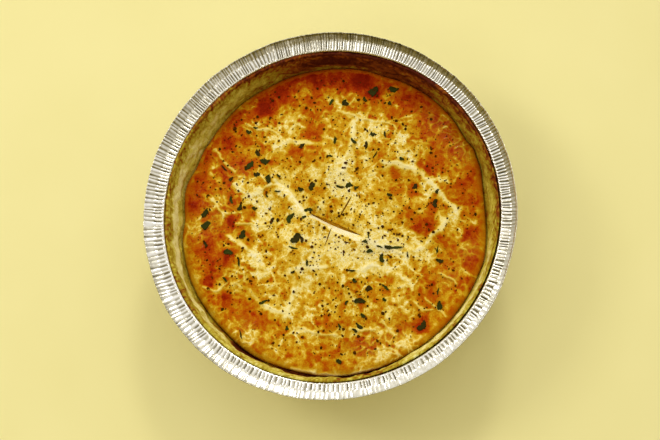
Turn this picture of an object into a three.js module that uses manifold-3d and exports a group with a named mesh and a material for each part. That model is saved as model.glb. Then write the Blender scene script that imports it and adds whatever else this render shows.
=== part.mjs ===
// A pot pie baked in a round foil tin with a crimped rim.
// Millimetres, +Z up. The origin is the middle of the tin's flat underside. Seen from above,
// +X points to the right of the pie and +Y to its far side.
import * as THREE from 'three';
import { mergeGeometries, mergeVertices } from 'three/addons/utils/BufferGeometryUtils.js';
import Module from 'manifold-3d';

const wasm = await Module();
wasm.setup();

const GAP = 0.3;                 // air between neighbouring pieces
const ROUND_STEPS = 72;          // steps round the pie

// Foil tin
const FLANGE_HEIGHT = 42;        // table to the flat crimped flange
const RIM_HEIGHT = 45;           // table to the top of the lip
const FLOOR_RADIUS = 75.5;       // where the inside of the wall, run straight down, meets the table
const MOUTH_RADIUS = 82.5;       // inside of the wall at the flange
const FLANGE_WIDTH = 5.2;
const LIP_REACH = 2.8;           // the lip flares out this far past the flange
const LIP_UNEVEN = 0.5;          // the bent lip wanders in and out by this much, twice round the tin
const LIP_UNEVEN_TURN = 30;      // degrees from +X to where the lip reaches furthest
const FOIL = 0.6;
const CORNER_RADIUS = 4;         // floor to wall
const CORNER_STEPS = 3;
const PLEATS = 180;
const PLEAT_START = 1;           // the pleats begin this far out from the inside of the wall
const PLEAT_DEPTH = 0.8;         // crest to trough, at the fold between flange and lip
const LIP_PLEAT_DEPTH = 0.5;
const PLEAT_FADES = 23;          // places round the rim where the pleats are pressed shallower
const PLEAT_FADE = 0.5;          // share of the depth that is lost there

// Crust lid
const LID_RADIUS = 77.2;
const LID_EDGE_HEIGHT = 29;      // table to the top of the lid where its edge begins to roll down
const LID_UNDERSIDE = 24.5;
const LID_UNDERCUT = 1.2;        // the lid's side slopes in by this much on its way down
const LID_CROWN = 3;             // the middle stands this much above the edge
const EDGE_ROLL = 4;             // width of the band that rolls down
const EDGE_DROP = 2.2;
const LID_RINGS = 13;            // rings of facets inside the rolled band
const ROLL_RINGS = 3;
// Where the lid's edge swells (+) or draws in (-): [angle in degrees, millimetres, half-width in degrees]
const EDGE_SWELLS = [[4, -2.2, 14], [68, 0.8, 30], [157, -2.2, 24], [250, 0.9, 50]];
// Long swells of the baked surface: [wavelength, direction in degrees, height, phase in degrees]
const SURFACE_WAVES = [[62, 20, 0.55, 40], [41, 105, 0.45, 200], [29, 160, 0.35, 310], [22, 60, 0.25, 120]];

// Creases that stand up as ridges, as points [x, y] along each
const RIDGE_WIDTH = 3.4;
const RIDGE_RISE = 0.8;
const RIDGE_STEP = 6;            // about the length of one straight piece of a ridge
const RIDGE_FADE = 5;            // length at each end over which a ridge sinks into the lid
const RIDGE_END_SINK = 1;
const RIDGES = [
  [[18, -13], [30, -18.5], [40, -19], [49, -12], [57, -4]],
  [[14, -28], [20, -26], [32, -30], [36, -32], [39, -37]],
  [[-20, -27], [-19, -36], [-23, -50]],
  [[-18, -26], [-10, -25], [-2, -26]],
  [[-52, -9], [-41, -17], [-34, -25]],
  [[-50, 18], [-40, 12], [-31, 17]],
  [[-29, 37], [-20, 38.5], [-4, 37]],
  [[11, 48], [10, 40], [5, 22]],
  [[26, 27], [40, 23], [48, 16], [62, 0]],
  [[-50, -34], [-45, -34], [-33, -45], [-22, -49]],
  [[-29, 19], [-22, 14], [-17, 7], [-13, 1]],
];

// Vent: a long slit crossed by two short ones, as [start, middle, end]
const SLIT_WIDTH = 1.2;
const SLIT_DEPTH = 2.6;
const SLIT_CURVE_STEPS = 4;
const CUTTER_HEIGHT = 8;         // reaches well above the lid
const SLITS = [
  [[-11, 1.5], [0, -4], [15.5, -11]],
  [[9.5, 9.5], [6.5, 4], [3.5, -1.5]],
  [[0, -6], [-2, -11], [-4, -16]],
];
// The lower side of the long slit has lifted into a lip
const SLIT_LIP = [[-11, -1], [-1, -6.8], [14, -13]];

// Herb flakes: the largest by place, [x, y, length, width, turn in degrees], and others by a seeded draw
const FLAKE_SIDES = 6;
const FLAKE_PROUD = 0.5;
const FLAKE_SUNK = 0.7;
const LARGE_FLAKES = [
  [-42, 27, 5, 4, 60], [-34, 29, 4.5, 3.5, 0], [-32, 19.5, 4, 3, 80], [-10, 15, 3.6, 3.2, 30],
  [-21, -0.5, 5, 3.4, 60], [-18, -11, 5, 4.4, 75], [-64, -3, 4.6, 4, 10], [-64.5, 3, 4, 3, 70],
  [-45, -8.5, 4, 4, 45], [-52, -17.5, 4.2, 2.8, 0], [21, 64, 5, 4, 70], [31, 65, 4.6, 3.5, 0],
  [8.5, 15, 3.2, 2.6, 0], [51, 5, 4.2, 2.8, 80], [31, -17, 7, 1.1, 0], [24.5, -22, 4, 2.5, 90],
  [13.5, -43, 5, 2.5, 0], [18, -37, 3.2, 3, 0], [52, -45.5, 3.8, 3, 70], [43.5, -55, 5, 4, 60],
];
const SMALL_FLAKES = 22;
const SMALL_FLAKE_LENGTH = [2, 3.6];
const SMALL_FLAKE_SLENDER = [0.45, 0.85];   // width over length
const FLAKE_FIELD_RADIUS = 66;              // the draw keeps to this distance from the middle
const FLAKE_SEED = 7;

// Pastry case: the solid pie below the lid and the wall that lines the tin above it
const CREST_HEIGHT = 40.4;       // table to the wall's uneven top edge
const CREST_WIDTH = 1;
const LID_CLEARANCE = 0.7;       // dark gap between the lid and the wall
const WALL_STEPS = 3;
// Waves of the wall: [waves round the pie, height of the top edge, swell of the inner face, phase in degrees]
const WALL_WAVES = [[3, 0.35, 0.1, 30], [7, 0.3, 0.16, 100], [13, 0.2, 0.14, 200]];

const radians = THREE.MathUtils.degToRad;
const mix = THREE.MathUtils.lerp;

// Repeatable draws between 0 and 1
function seededDraw(seed) {
  let state = seed;
  return () => {
    state = (Math.imul(state, 1664525) + 1013904223) >>> 0;
    return state / 2 ** 32;
  };
}

// A closed geometry as a solid, without the empty triangles that meet the axis of a turned shape
function closedSolid(geometry) {
  geometry.deleteAttribute('normal');
  geometry.deleteAttribute('uv');
  const merged = mergeVertices(geometry);
  const corners = merged.index.array;
  const kept = [];
  for (let i = 0; i < corners.length; i += 3) {
    const [a, b, c] = corners.slice(i, i + 3);
    if (a !== b && b !== c && c !== a) kept.push(a, b, c);
  }
  const vertProperties = merged.attributes.position.array;
  return new wasm.Manifold(new wasm.Mesh({ numProp: 3, vertProperties, triVerts: Uint32Array.from(kept) }));
}

// Angle of one of the steps round the Z axis, counted from the near side
function stepAngle(step, steps) {
  return 2 * Math.PI * (step % steps) / steps - Math.PI / 2;
}

// Turn an outline round the Z axis, with place(point, angle) giving each point's radius and height
function turned(outline, steps, place) {
  const points = outline.map((_, index) => new THREE.Vector2(1, index));
  const lathe = new THREE.LatheGeometry(points, steps);
  const position = lathe.attributes.position;
  for (let i = 0; i < position.count; i++) {
    const angle = stepAngle(Math.floor(i / outline.length), steps);
    const [radius, height] = place(outline[i % outline.length], angle);
    position.setXYZ(i, radius * Math.cos(angle), radius * Math.sin(angle), height);
  }
  return lathe;
}

const asDrawn = ([radius, height]) => [radius, height];

// Inside of the foil wall at a height
function wallRadius(height) {
  return mix(FLOOR_RADIUS, MOUTH_RADIUS, height / FLANGE_HEIGHT);
}

// The rounded turn from a floor at this height up into the wall, inset from the inside of the foil
function corner(height, inset) {
  const curve = new THREE.QuadraticBezierCurve(
    new THREE.Vector2(wallRadius(height) - inset - CORNER_RADIUS, height),
    new THREE.Vector2(wallRadius(height) - inset, height),
    new THREE.Vector2(wallRadius(height + CORNER_RADIUS) - inset, height + CORNER_RADIUS),
  );
  return curve.getPoints(CORNER_STEPS).map((point) => point.toArray());
}

// A flat ring at one height that leads from the coarse steps of the wall to the fine steps of the pleats
function stepChange(innerRadius, outerRadius, height) {
  const circle = (radius, steps) => Array.from({ length: steps }, (_, step) => {
    const angle = stepAngle(step, steps);
    return new THREE.Vector2(radius * Math.cos(angle), radius * Math.sin(angle));
  });
  const ring = new THREE.Shape(circle(outerRadius, 2 * PLEATS));
  ring.holes.push(new THREE.Path(circle(innerRadius, ROUND_STEPS)));
  return new THREE.ShapeGeometry(ring).translate(0, 0, height);
}

// Flange and flared lip, pleated all round, from the underside out over the lip and back in on top
function tinRim(root, under) {
  const fold = MOUTH_RADIUS + FLANGE_WIDTH;
  const edge = fold + LIP_REACH;
  const slant = FOIL * Math.SQRT1_2;
  // Each point: radius, height, share of the flange's pleats, share of the lip's pleats
  const outline = [
    [root, under, 0, 0],
    [fold + slant / 2, under, 1, 0],
    [edge, RIM_HEIGHT - slant, 0, 1],
    [edge - slant, RIM_HEIGHT, 0, 1],
    [fold, FLANGE_HEIGHT, 1, 0],
    [root, FLANGE_HEIGHT, 0, 0],
  ];
  return turned(outline, 2 * PLEATS, ([radius, height, onFlange, onLip], angle) => {
    const depth = 1 - PLEAT_FADE * (1 - Math.sin(PLEAT_FADES * angle)) / 2;
    const pleat = depth * Math.cos(PLEATS * angle);
    const wander = LIP_UNEVEN * Math.cos(2 * (angle - radians(LIP_UNEVEN_TURN)));
    return [
      radius + onLip * (wander + pleat * LIP_PLEAT_DEPTH / 2),
      height + onFlange * pleat * PLEAT_DEPTH / 2,
    ];
  });
}

// The tin: outside of the cup, underside of the flange, rim, top of the flange and inside of the cup
function foilTin() {
  const root = MOUTH_RADIUS + PLEAT_START;
  const under = FLANGE_HEIGHT - FOIL;
  const outside = [[0, 0], ...corner(0, -FOIL), [MOUTH_RADIUS + FOIL, under]];
  const inside = [[MOUTH_RADIUS, FLANGE_HEIGHT], ...corner(FOIL, 0).reverse(), [0, FOIL]];
  const underside = stepChange(MOUTH_RADIUS + FOIL, root, under);
  underside.index.array.reverse();
  return closedSolid(mergeGeometries([
    turned(outside, ROUND_STEPS, asDrawn),
    underside,
    tinRim(root, under),
    stepChange(MOUTH_RADIUS, root, FLANGE_HEIGHT),
    turned(inside, ROUND_STEPS, asDrawn),
  ]));
}

// Edge of the lid at an angle
function lidRadius(angle) {
  let radius = LID_RADIUS;
  for (const [at, swell, halfWidth] of EDGE_SWELLS) {
    const away = THREE.MathUtils.euclideanModulo(THREE.MathUtils.radToDeg(angle) - at + 180, 360) - 180;
    radius += swell * Math.exp(-((away / halfWidth) ** 2));
  }
  return radius;
}

// Height of the lid's top without its creases
function lidTop(x, y) {
  const edge = lidRadius(Math.atan2(y, x));
  const radius = Math.hypot(x, y);
  const reach = radius / edge;
  let height = LID_EDGE_HEIGHT + LID_CROWN * (1 - reach ** 2);
  for (const [wavelength, direction, rise, phase] of SURFACE_WAVES) {
    const along = x * Math.cos(radians(direction)) + y * Math.sin(radians(direction));
    height += rise * (1 - reach ** 4) * Math.sin(2 * Math.PI * along / wavelength + radians(phase));
  }
  const intoRoll = THREE.MathUtils.clamp((radius - edge + EDGE_ROLL) / EDGE_ROLL, 0, 1);
  return height - EDGE_DROP * (1 - Math.sqrt(1 - intoRoll ** 2));
}

// Round slab with the domed, rolled-edge top
function lidSlab() {
  const rollStart = 1 - EDGE_ROLL / LID_RADIUS;
  const outline = [{ reach: 0, top: false }, { reach: 1, top: false }];
  for (let ring = 0; ring < ROLL_RINGS; ring++) {
    const turn = (Math.PI / 2) * (ring / ROLL_RINGS);
    outline.push({ reach: mix(rollStart, 1, Math.cos(turn)), top: true });
  }
  for (let ring = 0; ring <= LID_RINGS; ring++) {
    outline.push({ reach: rollStart * (1 - ring / LID_RINGS), top: true });
  }
  return closedSolid(turned(outline, ROUND_STEPS, ({ reach, top }, angle) => {
    const radius = reach * (lidRadius(angle) - (top ? 0 : LID_UNDERCUT));
    const height = top ? lidTop(radius * Math.cos(angle), radius * Math.sin(angle)) : LID_UNDERSIDE;
    return [radius, height];
  }));
}

// A crease: a bar of lens-shaped section laid over the surface, with both ends sinking into it
function ridge(points) {
  const path = new THREE.CatmullRomCurve3(points.map(([x, y]) => new THREE.Vector3(x, y, 0)));
  const section = new THREE.Shape([
    new THREE.Vector2(RIDGE_RISE, 0),
    new THREE.Vector2(0, RIDGE_WIDTH / 2),
    new THREE.Vector2(-RIDGE_RISE, 0),
    new THREE.Vector2(0, -RIDGE_WIDTH / 2),
  ]);
  const steps = Math.ceil(path.getLength() / RIDGE_STEP);
  const bar = new THREE.ExtrudeGeometry(section, { steps, extrudePath: path });
  const position = bar.attributes.position;
  for (let i = 0; i < position.count; i++) {
    const x = position.getX(i);
    const y = position.getY(i);
    const fromEnds = [points[0], points.at(-1)].map(([endX, endY]) => Math.hypot(x - endX, y - endY));
    const sink = RIDGE_END_SINK * Math.max(0, 1 - Math.min(...fromEnds) / RIDGE_FADE);
    position.setZ(i, position.getZ(i) + lidTop(x, y) - sink);
  }
  return closedSolid(bar);
}

// A blade-shaped cut, pointed at both ends, from above the lid down to the slit's depth
function slit([start, middle, end]) {
  const along = new THREE.Vector2(end[0] - start[0], end[1] - start[1]).normalize();
  const side = new THREE.Vector2(-along.y, along.x).multiplyScalar(SLIT_WIDTH);
  const blade = new THREE.Shape();
  blade.moveTo(...start);
  blade.quadraticCurveTo(middle[0] - side.x, middle[1] - side.y, ...end);
  blade.quadraticCurveTo(middle[0] + side.x, middle[1] + side.y, ...start);
  const floor = lidTop(...middle) - SLIT_DEPTH;
  const cutter = new THREE.ExtrudeGeometry(blade, {
    depth: CUTTER_HEIGHT,
    bevelEnabled: false,
    curveSegments: SLIT_CURVE_STEPS,
  });
  return closedSolid(cutter.translate(0, 0, floor));
}

// Every flake in the solid, the largest first
function flakePlaces() {
  const draw = seededDraw(FLAKE_SEED);
  const places = [...LARGE_FLAKES];
  for (let i = 0; i < SMALL_FLAKES; i++) {
    const radius = FLAKE_FIELD_RADIUS * Math.sqrt(draw());
    const angle = 2 * Math.PI * draw();
    const length = mix(...SMALL_FLAKE_LENGTH, draw());
    const width = length * mix(...SMALL_FLAKE_SLENDER, draw());
    places.push([radius * Math.cos(angle), radius * Math.sin(angle), length, width, 180 * draw()]);
  }
  return places;
}

// A flake of dried herb: a small plate bedded in the lid and tilted with its surface
function flake([x, y, length, width, turn]) {
  const corners = [];
  for (let k = 0; k < FLAKE_SIDES; k++) {
    const angle = 2 * Math.PI * k / FLAKE_SIDES;
    corners.push(new THREE.Vector2(length / 2 * Math.cos(angle), width / 2 * Math.sin(angle)));
  }
  const plate = new THREE.ExtrudeGeometry(new THREE.Shape(corners), {
    depth: FLAKE_PROUD + FLAKE_SUNK,
    bevelEnabled: false,
  });
  const fallX = lidTop(x - 1, y) - lidTop(x + 1, y);
  const fallY = lidTop(x, y - 1) - lidTop(x, y + 1);
  const upright = new THREE.Vector3(0, 0, 1);
  const normal = new THREE.Vector3(fallX, fallY, 2).normalize();
  const tilt = new THREE.Quaternion().setFromUnitVectors(upright, normal);
  plate.translate(0, 0, -FLAKE_SUNK);
  plate.rotateZ(radians(turn));
  plate.applyQuaternion(tilt);
  return closedSolid(plate.translate(x, y, lidTop(x, y)));
}

function crustLid() {
  let lid = lidSlab();
  for (const points of [...RIDGES, SLIT_LIP]) lid = lid.add(ridge(points));
  for (const points of SLITS) lid = lid.subtract(slit(points));
  for (const place of flakePlaces()) lid = lid.add(flake(place));
  return lid;
}

// Top edge of the pastry wall at an angle
function crestHeight(angle) {
  let height = CREST_HEIGHT;
  for (const [count, rise, , phase] of WALL_WAVES) height += rise * Math.sin(count * angle + radians(phase));
  return height;
}

// Inner face of the pastry wall: up is 0 beside the lid's rolled edge and 1 at the top
function wallFace(up, angle) {
  const crest = crestHeight(angle);
  let radius = mix(lidRadius(angle) + LID_CLEARANCE, wallRadius(crest) - GAP - CREST_WIDTH, up);
  for (const [count, , swell, phase] of WALL_WAVES) {
    radius -= swell * Math.sin(Math.PI * up) * (1 + Math.sin(count * angle - radians(phase)));
  }
  return [radius, mix(LID_EDGE_HEIGHT - EDGE_DROP, crest, up)];
}

// The pie's body and upstanding wall in one piece, a hair clear of the foil
function pastryCase() {
  const outline = [{ drawn: [0, FOIL + GAP] }];
  for (const drawn of corner(FOIL + GAP, GAP)) outline.push({ drawn });
  outline.push({ outerCrest: true });
  for (let step = WALL_STEPS; step >= 0; step--) outline.push({ up: step / WALL_STEPS });
  const bed = LID_UNDERSIDE - GAP;
  outline.push({ besideBed: true }, { drawn: [0, bed] });
  return closedSolid(turned(outline, ROUND_STEPS, ({ drawn, outerCrest, up, besideBed }, angle) => {
    if (drawn) return drawn;
    if (besideBed) return [lidRadius(angle) - LID_UNDERCUT + LID_CLEARANCE, bed];
    const height = crestHeight(angle) - CREST_WIDTH / 2;
    if (outerCrest) return [wallRadius(height) - GAP, height];
    return wallFace(up, angle);
  }));
}

function piece(name, solid, look) {
  const { vertProperties, triVerts } = solid.getMesh();
  const geometry = new THREE.BufferGeometry();
  geometry.setAttribute('position', new THREE.BufferAttribute(vertProperties, 3));
  geometry.setIndex(new THREE.BufferAttribute(triVerts, 1));
  geometry.computeVertexNormals();
  const mesh = new THREE.Mesh(geometry, new THREE.MeshStandardMaterial(look));
  mesh.name = name;
  return mesh;
}

const pie = new THREE.Group();
pie.add(
  piece('foil_tin', foilTin(), { color: 0xd6d5cf, metalness: 1, roughness: 0.3 }),
  piece('pastry_case', pastryCase(), { color: 0xd8bf7a, metalness: 0, roughness: 0.75 }),
  piece('top_crust', crustLid(), { color: 0xd09a4a, metalness: 0, roughness: 0.45 }),
);

export default pie;
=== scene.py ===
"""Looks of the pot pie in its foil tin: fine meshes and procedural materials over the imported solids."""

import math
from types import SimpleNamespace

import bmesh
import bpy
import numpy as np
from mathutils import Matrix, Vector, noise


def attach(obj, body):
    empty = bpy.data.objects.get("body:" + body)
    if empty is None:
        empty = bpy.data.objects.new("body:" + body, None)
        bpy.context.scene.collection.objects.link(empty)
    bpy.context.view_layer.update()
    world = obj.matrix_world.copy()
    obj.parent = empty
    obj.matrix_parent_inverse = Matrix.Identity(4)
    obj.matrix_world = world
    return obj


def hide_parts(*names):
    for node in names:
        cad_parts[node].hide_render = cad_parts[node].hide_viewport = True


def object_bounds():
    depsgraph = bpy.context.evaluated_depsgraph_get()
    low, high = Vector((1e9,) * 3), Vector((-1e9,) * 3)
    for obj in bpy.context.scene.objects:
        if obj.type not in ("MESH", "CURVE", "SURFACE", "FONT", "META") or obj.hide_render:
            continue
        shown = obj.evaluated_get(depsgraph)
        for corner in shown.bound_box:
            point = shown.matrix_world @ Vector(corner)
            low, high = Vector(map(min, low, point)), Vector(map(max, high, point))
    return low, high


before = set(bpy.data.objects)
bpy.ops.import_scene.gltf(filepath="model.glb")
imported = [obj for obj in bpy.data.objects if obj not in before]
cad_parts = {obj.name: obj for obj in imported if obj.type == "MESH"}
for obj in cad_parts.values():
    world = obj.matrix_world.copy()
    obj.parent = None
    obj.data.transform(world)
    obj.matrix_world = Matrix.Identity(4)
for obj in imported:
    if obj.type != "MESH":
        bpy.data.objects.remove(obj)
cad_low, cad_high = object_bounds()

# Lengths below are in millimetres and angles in degrees; what is made from them is scaled to metres
MM = 0.001
TAU = 2 * math.pi

# Foil tin
FLANGE_HEIGHT = 42
RIM_HEIGHT = cad_high.z / MM
FLOOR_RADIUS = 75.5
MOUTH_RADIUS = 82.5
FLANGE_WIDTH = 5.2
LIP_REACH = 3.2
FOIL = 0.3
CORNER_RADIUS = 4
WALL_TOP = 40.8  # the wall turns out into the flange from here
RIM_ROWS = 24  # rings of points from there to the lip's edge
BEAD_RADIUS, BEAD_WIDTH, BEAD_DEPTH = 57, 5, 0.45
MOUTH_GROWTH = 0.25  # the mouth is wider than the solid's all round
MOUTH_LEAN = 0.55  # and a little further out on one side
MOUTH_LEAN_TOWARD = 265
MOUTH_LEAN_START = 6  # from this height up
LIP_CRIMP = 0.22  # the lip's edge is uneven by this much
LIP_LEAN = 1.0  # the lip reaches further out on one side
LIP_LEAN_TOWARD = 205
LIP_SAG = 0.8  # the lip lies flatter on this side
LIP_SAG_TOWARD = 297
HATCH_TOWARD = 130  # the lip is creased most on this side
# Painted reflections and shade of the foil: the flange and the lip are painted lighter or darker around the
# tin for what they reflect on each side
FOIL_PAINTED_LIGHT = [  # angle, how much lighter the flange is there, and the lip
    (0, -0.08, -0.1), (30, 0.08, -0.16), (60, -0.04, -0.34), (90, -0.2, -0.34), (120, 0.0, -0.02),
    (150, -0.24, 0.14), (180, -0.02, 0.16), (210, 0.0, -0.2), (240, -0.06, -0.4), (270, -0.06, -0.26),
    (300, -0.08, -0.06), (330, -0.18, -0.06),
]

# Pleats of the foil. Each draws from the ranges: its width and depth against the mean, the flat part of its
# width, and how far out over the flange it runs.
PLEATS = 320
PLEAT_SEED = 3
PLEAT_DEPTH = 0.8
PLEAT_TILT = 0.12
PLEAT_WIDTHS = (0.6, 1.4)
PLEAT_FLATS = (0.4, 0.65)
PLEAT_DEPTHS = (0.45, 1.15)
PLEAT_RUNS = (0.82, 1.02)
PLEAT_SLANT = 0.7
PLEAT_START = (0.02, 0.18)  # pleats rise between these shares of the flange's width
PLAIN_START = (0.1, 0.28)  # and further out on the side where the inner edge is plain
PLAIN_TOWARD = 265
PLAIN_WIDENING = 0.22  # pleats are wider there
FLUTE_DEPTH = 0.55  # pleats run on down the wall as shallow flutes
FLUTE_HEIGHTS = (3, 24)  # which deepen between these heights
DEEPEST_FLUTE = 0.45  # so that the pastry stays behind the foil

# Crust lid
LID_RADIUS = 77.2
LID_EDGE_HEIGHT = 29
LID_UNDERSIDE = 24.5
LID_UNDERCUT = 1.2
LID_CROWN = 3
LID_RINGS = 174
EDGE_ROLL = 4  # width of the rolled edge
EDGE_DROP = 2.2
EDGE_BAND = 2.6  # and of its outer part, which has tones of its own
EDGE_SWELLS = [  # bulges and dents of the edge: angle, how far out, half-width
    (4, -2.2, 14), (68, 0.8, 30), (157, -2.2, 24), (250, 0.9, 50), (17, 0.6, 5), (25, 0.7, 2.5),
    (31, -0.7, 4), (48, 0.4, 8), (70, -0.9, 5), (116, -0.5, 7), (152, 0.5, 3), (167, 1.7, 6),
    (180, -1.0, 4), (205, 0.4, 12), (240, 1.0, 9), (274, 1.1, 17), (342, 0.5, 5),
]
SURFACE_WAVES = [  # wavelength, direction, rise, phase
    (62, 20, 0.55, 40), (41, 105, 0.45, 200), (29, 160, 0.35, 310), (22, 60, 0.25, 120),
]

# Relief of the crust: how far each kind of mark stands up
RIDGE_RISE = 0.35
LAP_RISE = 0.2  # the layer on the left of a crease laps over it
FINE_RISE = 0.45
GLAZE_RISE = 0.25
VEIN_RISE = 0.2
WRINKLE_RISE = 0.5
LUMP_RISE = 0.35
GRIT_RISE = 0.12
FLAKY_RISE = 0.6
GLAZE_CELL = 8.5  # size of the pieces that the glaze is cracked into
SHARP_ANGLE = 55  # edges that turn by more, as in the slits, stay sharp

# Creases: the strong ones that the solid has too, and finer ones
RIDGE_WIDTH = 1.6
RIDGES = [
    [(18, -13), (30, -18.5), (40, -19), (49, -12), (57, -4)],
    [(39, -37), (36, -32), (32, -30), (20, -26), (14, -28)],
    [(-20, -27), (-19, -36), (-23, -50)],
    [(-2, -26), (-10, -25), (-18, -26)],
    [(-52, -9), (-41, -17), (-34, -25)],
    [(-50, 18), (-40, 12), (-31, 17)],
    [(-29, 37), (-20, 38.5), (-4, 37)],
    [(11, 48), (10, 40), (5, 22)],
    [(26, 27), (40, 23), (48, 16), (62, 0)],
    [(-50, -34), (-45, -34), (-33, -45), (-22, -49)],
    [(-29, 19), (-22, 14), (-17, 7), (-13, 1)],
]
FINE_WIDTH = 0.704
FINE_CREASES = [
    [(-48, -3), (-42, -3), (-37, -5), (-31, -2.5)],
    [(-17, -55), (-12, -57), (-5, -59), (2, -59)],
    [(-44, 49), (-38, 46), (-33, 46), (-28, 43)],
    [(2, 54), (10, 52), (17, 49), (28, 47), (32, 43)],
    [(-65, -34), (-58, -36), (-53, -33)],
    [(8, -57), (20, -57)],
    [(24, -52), (30, -60)],
    [(40, -43), (44, -48), (48, -48)],
    [(45, -41.5), (55, -50)],
    [(-61, 10), (-54, 1)],
    [(-60, 36), (-56, 31), (-49.5, 24)],
    [(-20, -75.2), (-8, -77.4), (8, -77.8), (24, -74.4)],
    [(52, -30), (58, -32), (60, -35)],
]
WRINKLES = [  # wrinkled places: x, y, radius, strength
    (32, -65, 10, 1.0), (-43, -58, 7, 0.8), (16, -66, 7, 0.8), (57, -31, 7, 0.5), (67, -19, 6, 0.8),
    (54, 45, 9, 0.8), (63, 33, 7, 0.8), (-48, 22, 8, 0.6), (-58, 5, 9, 0.6), (-66, -6, 6, 0.7),
]
WRINKLE_GLOSS = 0.15

# Vent slits, as in the solid, and folds. Beside a fold the far side sinks toward the path, and the near side
# stands up and shows its pale cut face.
SLITS = [  # width, depth, path
    (1.7, 4.8, [(-12, 2), (0, -4), (15.5, -11)]),
    (0.9, 2.0, [(10, 10), (6.5, 4), (3.5, -1.5)]),
    (0.65, 1.4, [(0, -6), (-2, -11), (-4, -16)]),
]
SLIT_FIELD = 25  # all slits lie within this radius
FOLDS = [  # path, sink, rise, width of the face at both ends, how pale the face is
    ([(-12, 2), (0, -4), (16, -11.5)], 2.5, 0.6, (2.2, 4.0), 1.0),
    ([(-29, 19), (-22, 14), (-17, 7), (-12.5, 1.5)], 0.7, 0.5, (2.8, 2.6), 0.4),
]
FOLD_SINK_WIDTH = 3.0

# Browning of the crust, from 0 for pale to 1 for burnt, with painted shade on the same scale in places
MIDDLE_BROWN, OUTER_BROWN = 0.30, 0.61
BROWNING_DEPTHS = (66, 6)  # it deepens between these distances in from the edge
FAR_LEFT_BROWN = 0.07
# Painted shade: the lid is darkened near its far edge, where the wall shades it
FAR_EDGE_SHADE = 0.2
RED_SPOT_BROWN = 0.16
SPECK_BROWN = 0.3
MOTTLE_BROWN = {"broad": 0.05, "middle": 0.15, "small": 0.24, "cell": 0.08}
# Painted shade where the far side of a fold turns down out of the light
TURNED_SHADE = 0.22  # where the far side of a fold turns down
# The wrinkles' pale lines are partly paler dough and partly painted glints
GLAZE_PALE, VEIN_PALE, WRINKLE_PALE_AND_GLINT, FLAKY_PALE = 0.28, 0.24, 0.5, 0.1
PATCH_SHARE = 0.92  # how much of the patches' strengths shows
PATCH_CORE = 0.2  # browned patches are deeper in the middle
PALEST_BROWN = 0.1
DEEP_BROWN = 0.62  # what is darker than this is held back
DEEP_SHARE = 0.65
RIDGE_BROWN = 0.03
FINE_BROWN = 0.06
SLIT_BROWN = 0.38
DARK_GRAIN, LINE_GRAIN = 0.6, 0.15  # what is left of the grain on dark crust and on lines

# Browning of the lid's rolled edge around the pie, with painted shade where the wall shades the far side and
# where the roll turns down out of the light: angle, tone
EDGE_BROWN_AND_SHADE = [
    (0, 0.54), (15, 0.62), (60, 0.66), (110, 0.68), (135, 0.54), (150, 0.62), (170, 0.62), (185, 0.54),
    (200, 0.46), (215, 0.42), (230, 0.48), (242, 0.4), (257, 0.36), (268, 0.36), (285, 0.42), (300, 0.52),
    (325, 0.6), (345, 0.6),
]

# Browned patches and pale areas of the crust. For each strength: x, y, radius
BROWN_PATCHES = {
    0.44: [(46, 23, 4.5)],
    0.42: [(-34, 57, 5.5), (15, 69, 5.5), (41, 12, 3.5)],
    0.4: [(-10, 41, 6)],
    0.38: [(-62, -31, 4.5), (43, -55, 4.5)],
    0.36: [(20, 63, 4), (-50, -2, 3.5), (-54, -41, 4.5), (48, -6, 4.5)],
    0.34: [(-54, -21, 5), (32, 13, 4), (50, 4, 3.5), (68, -23, 5)],
    0.32: [(-9, 71, 5), (-43, 26, 5), (-72, 9, 6), (70, 7, 4), (42, -5, 5), (68, -11, 4)],
    0.3: [(-48, 29, 5), (64, -36, 5)],
    0.28: [(-54, 38, 3), (-67, 31, 5), (-69, 20, 6), (-54, 24, 5), (26, -35, 5), (16, -63, 6)],
    0.26: [(-26, 66, 5), (2, 72, 4), (-9, 48, 5), (-50, 10, 4), (-55, -8, 5), (-63, -6, 4), (-63, -16, 6),
           (-43, -11, 4), (32, 19, 4.5), (0, -37, 6), (34, -57, 4), (-1, -24, 4)],
    0.24: [(-58, -24, 6), (-31, -18, 4)],
    0.22: [(-40, -49, 4), (-26, -55, 4), (-8, 11, 5), (-25, -4, 4), (50, 27, 4.5), (44, -41, 3),
           (-3, -52, 5)],
    0.2: [(-43, -1, 5), (-40, -34, 4), (15, 21, 4), (18, 8, 4), (63, 13, 5), (62, 6, 4), (-13, 17, 4)],
    0.18: [(-10, 61, 4), (-18, 33, 6), (-10, 31, 6), (12, 12, 4), (23, 18, 4), (37, 0, 5), (42, -30, 4),
           (20, -33, 3.5), (0, 6, 4), (22, -53, 4)],
    0.16: [(48, 45, 5), (3, 34, 4), (23, 30, 5), (38, 20, 3.5), (52, 20, 4), (71, 17, 5), (53, -13, 3),
           (57, -29, 5), (50, -37, 5), (14, -44, 4), (3, -46, 4), (15, 27, 5), (10, -36, 5)],
    0.15: [(-62, 42, 4)],
    0.14: [(-33, 28, 4), (-63, 4, 4), (-34, -53, 5), (-26, -50, 4), (-30, 18, 3), (57, 8, 5), (58, -50, 4),
           (19, -38, 3)],
    0.12: [(5, 66, 4), (-51, -48, 3.5), (-42, -55, 3), (8, -54, 4)],
    0.1: [(46, 58, 7), (-12, -54, 4)],
    0.06: [(5, 44, 6), (-46, 34, 5)],
}
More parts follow.
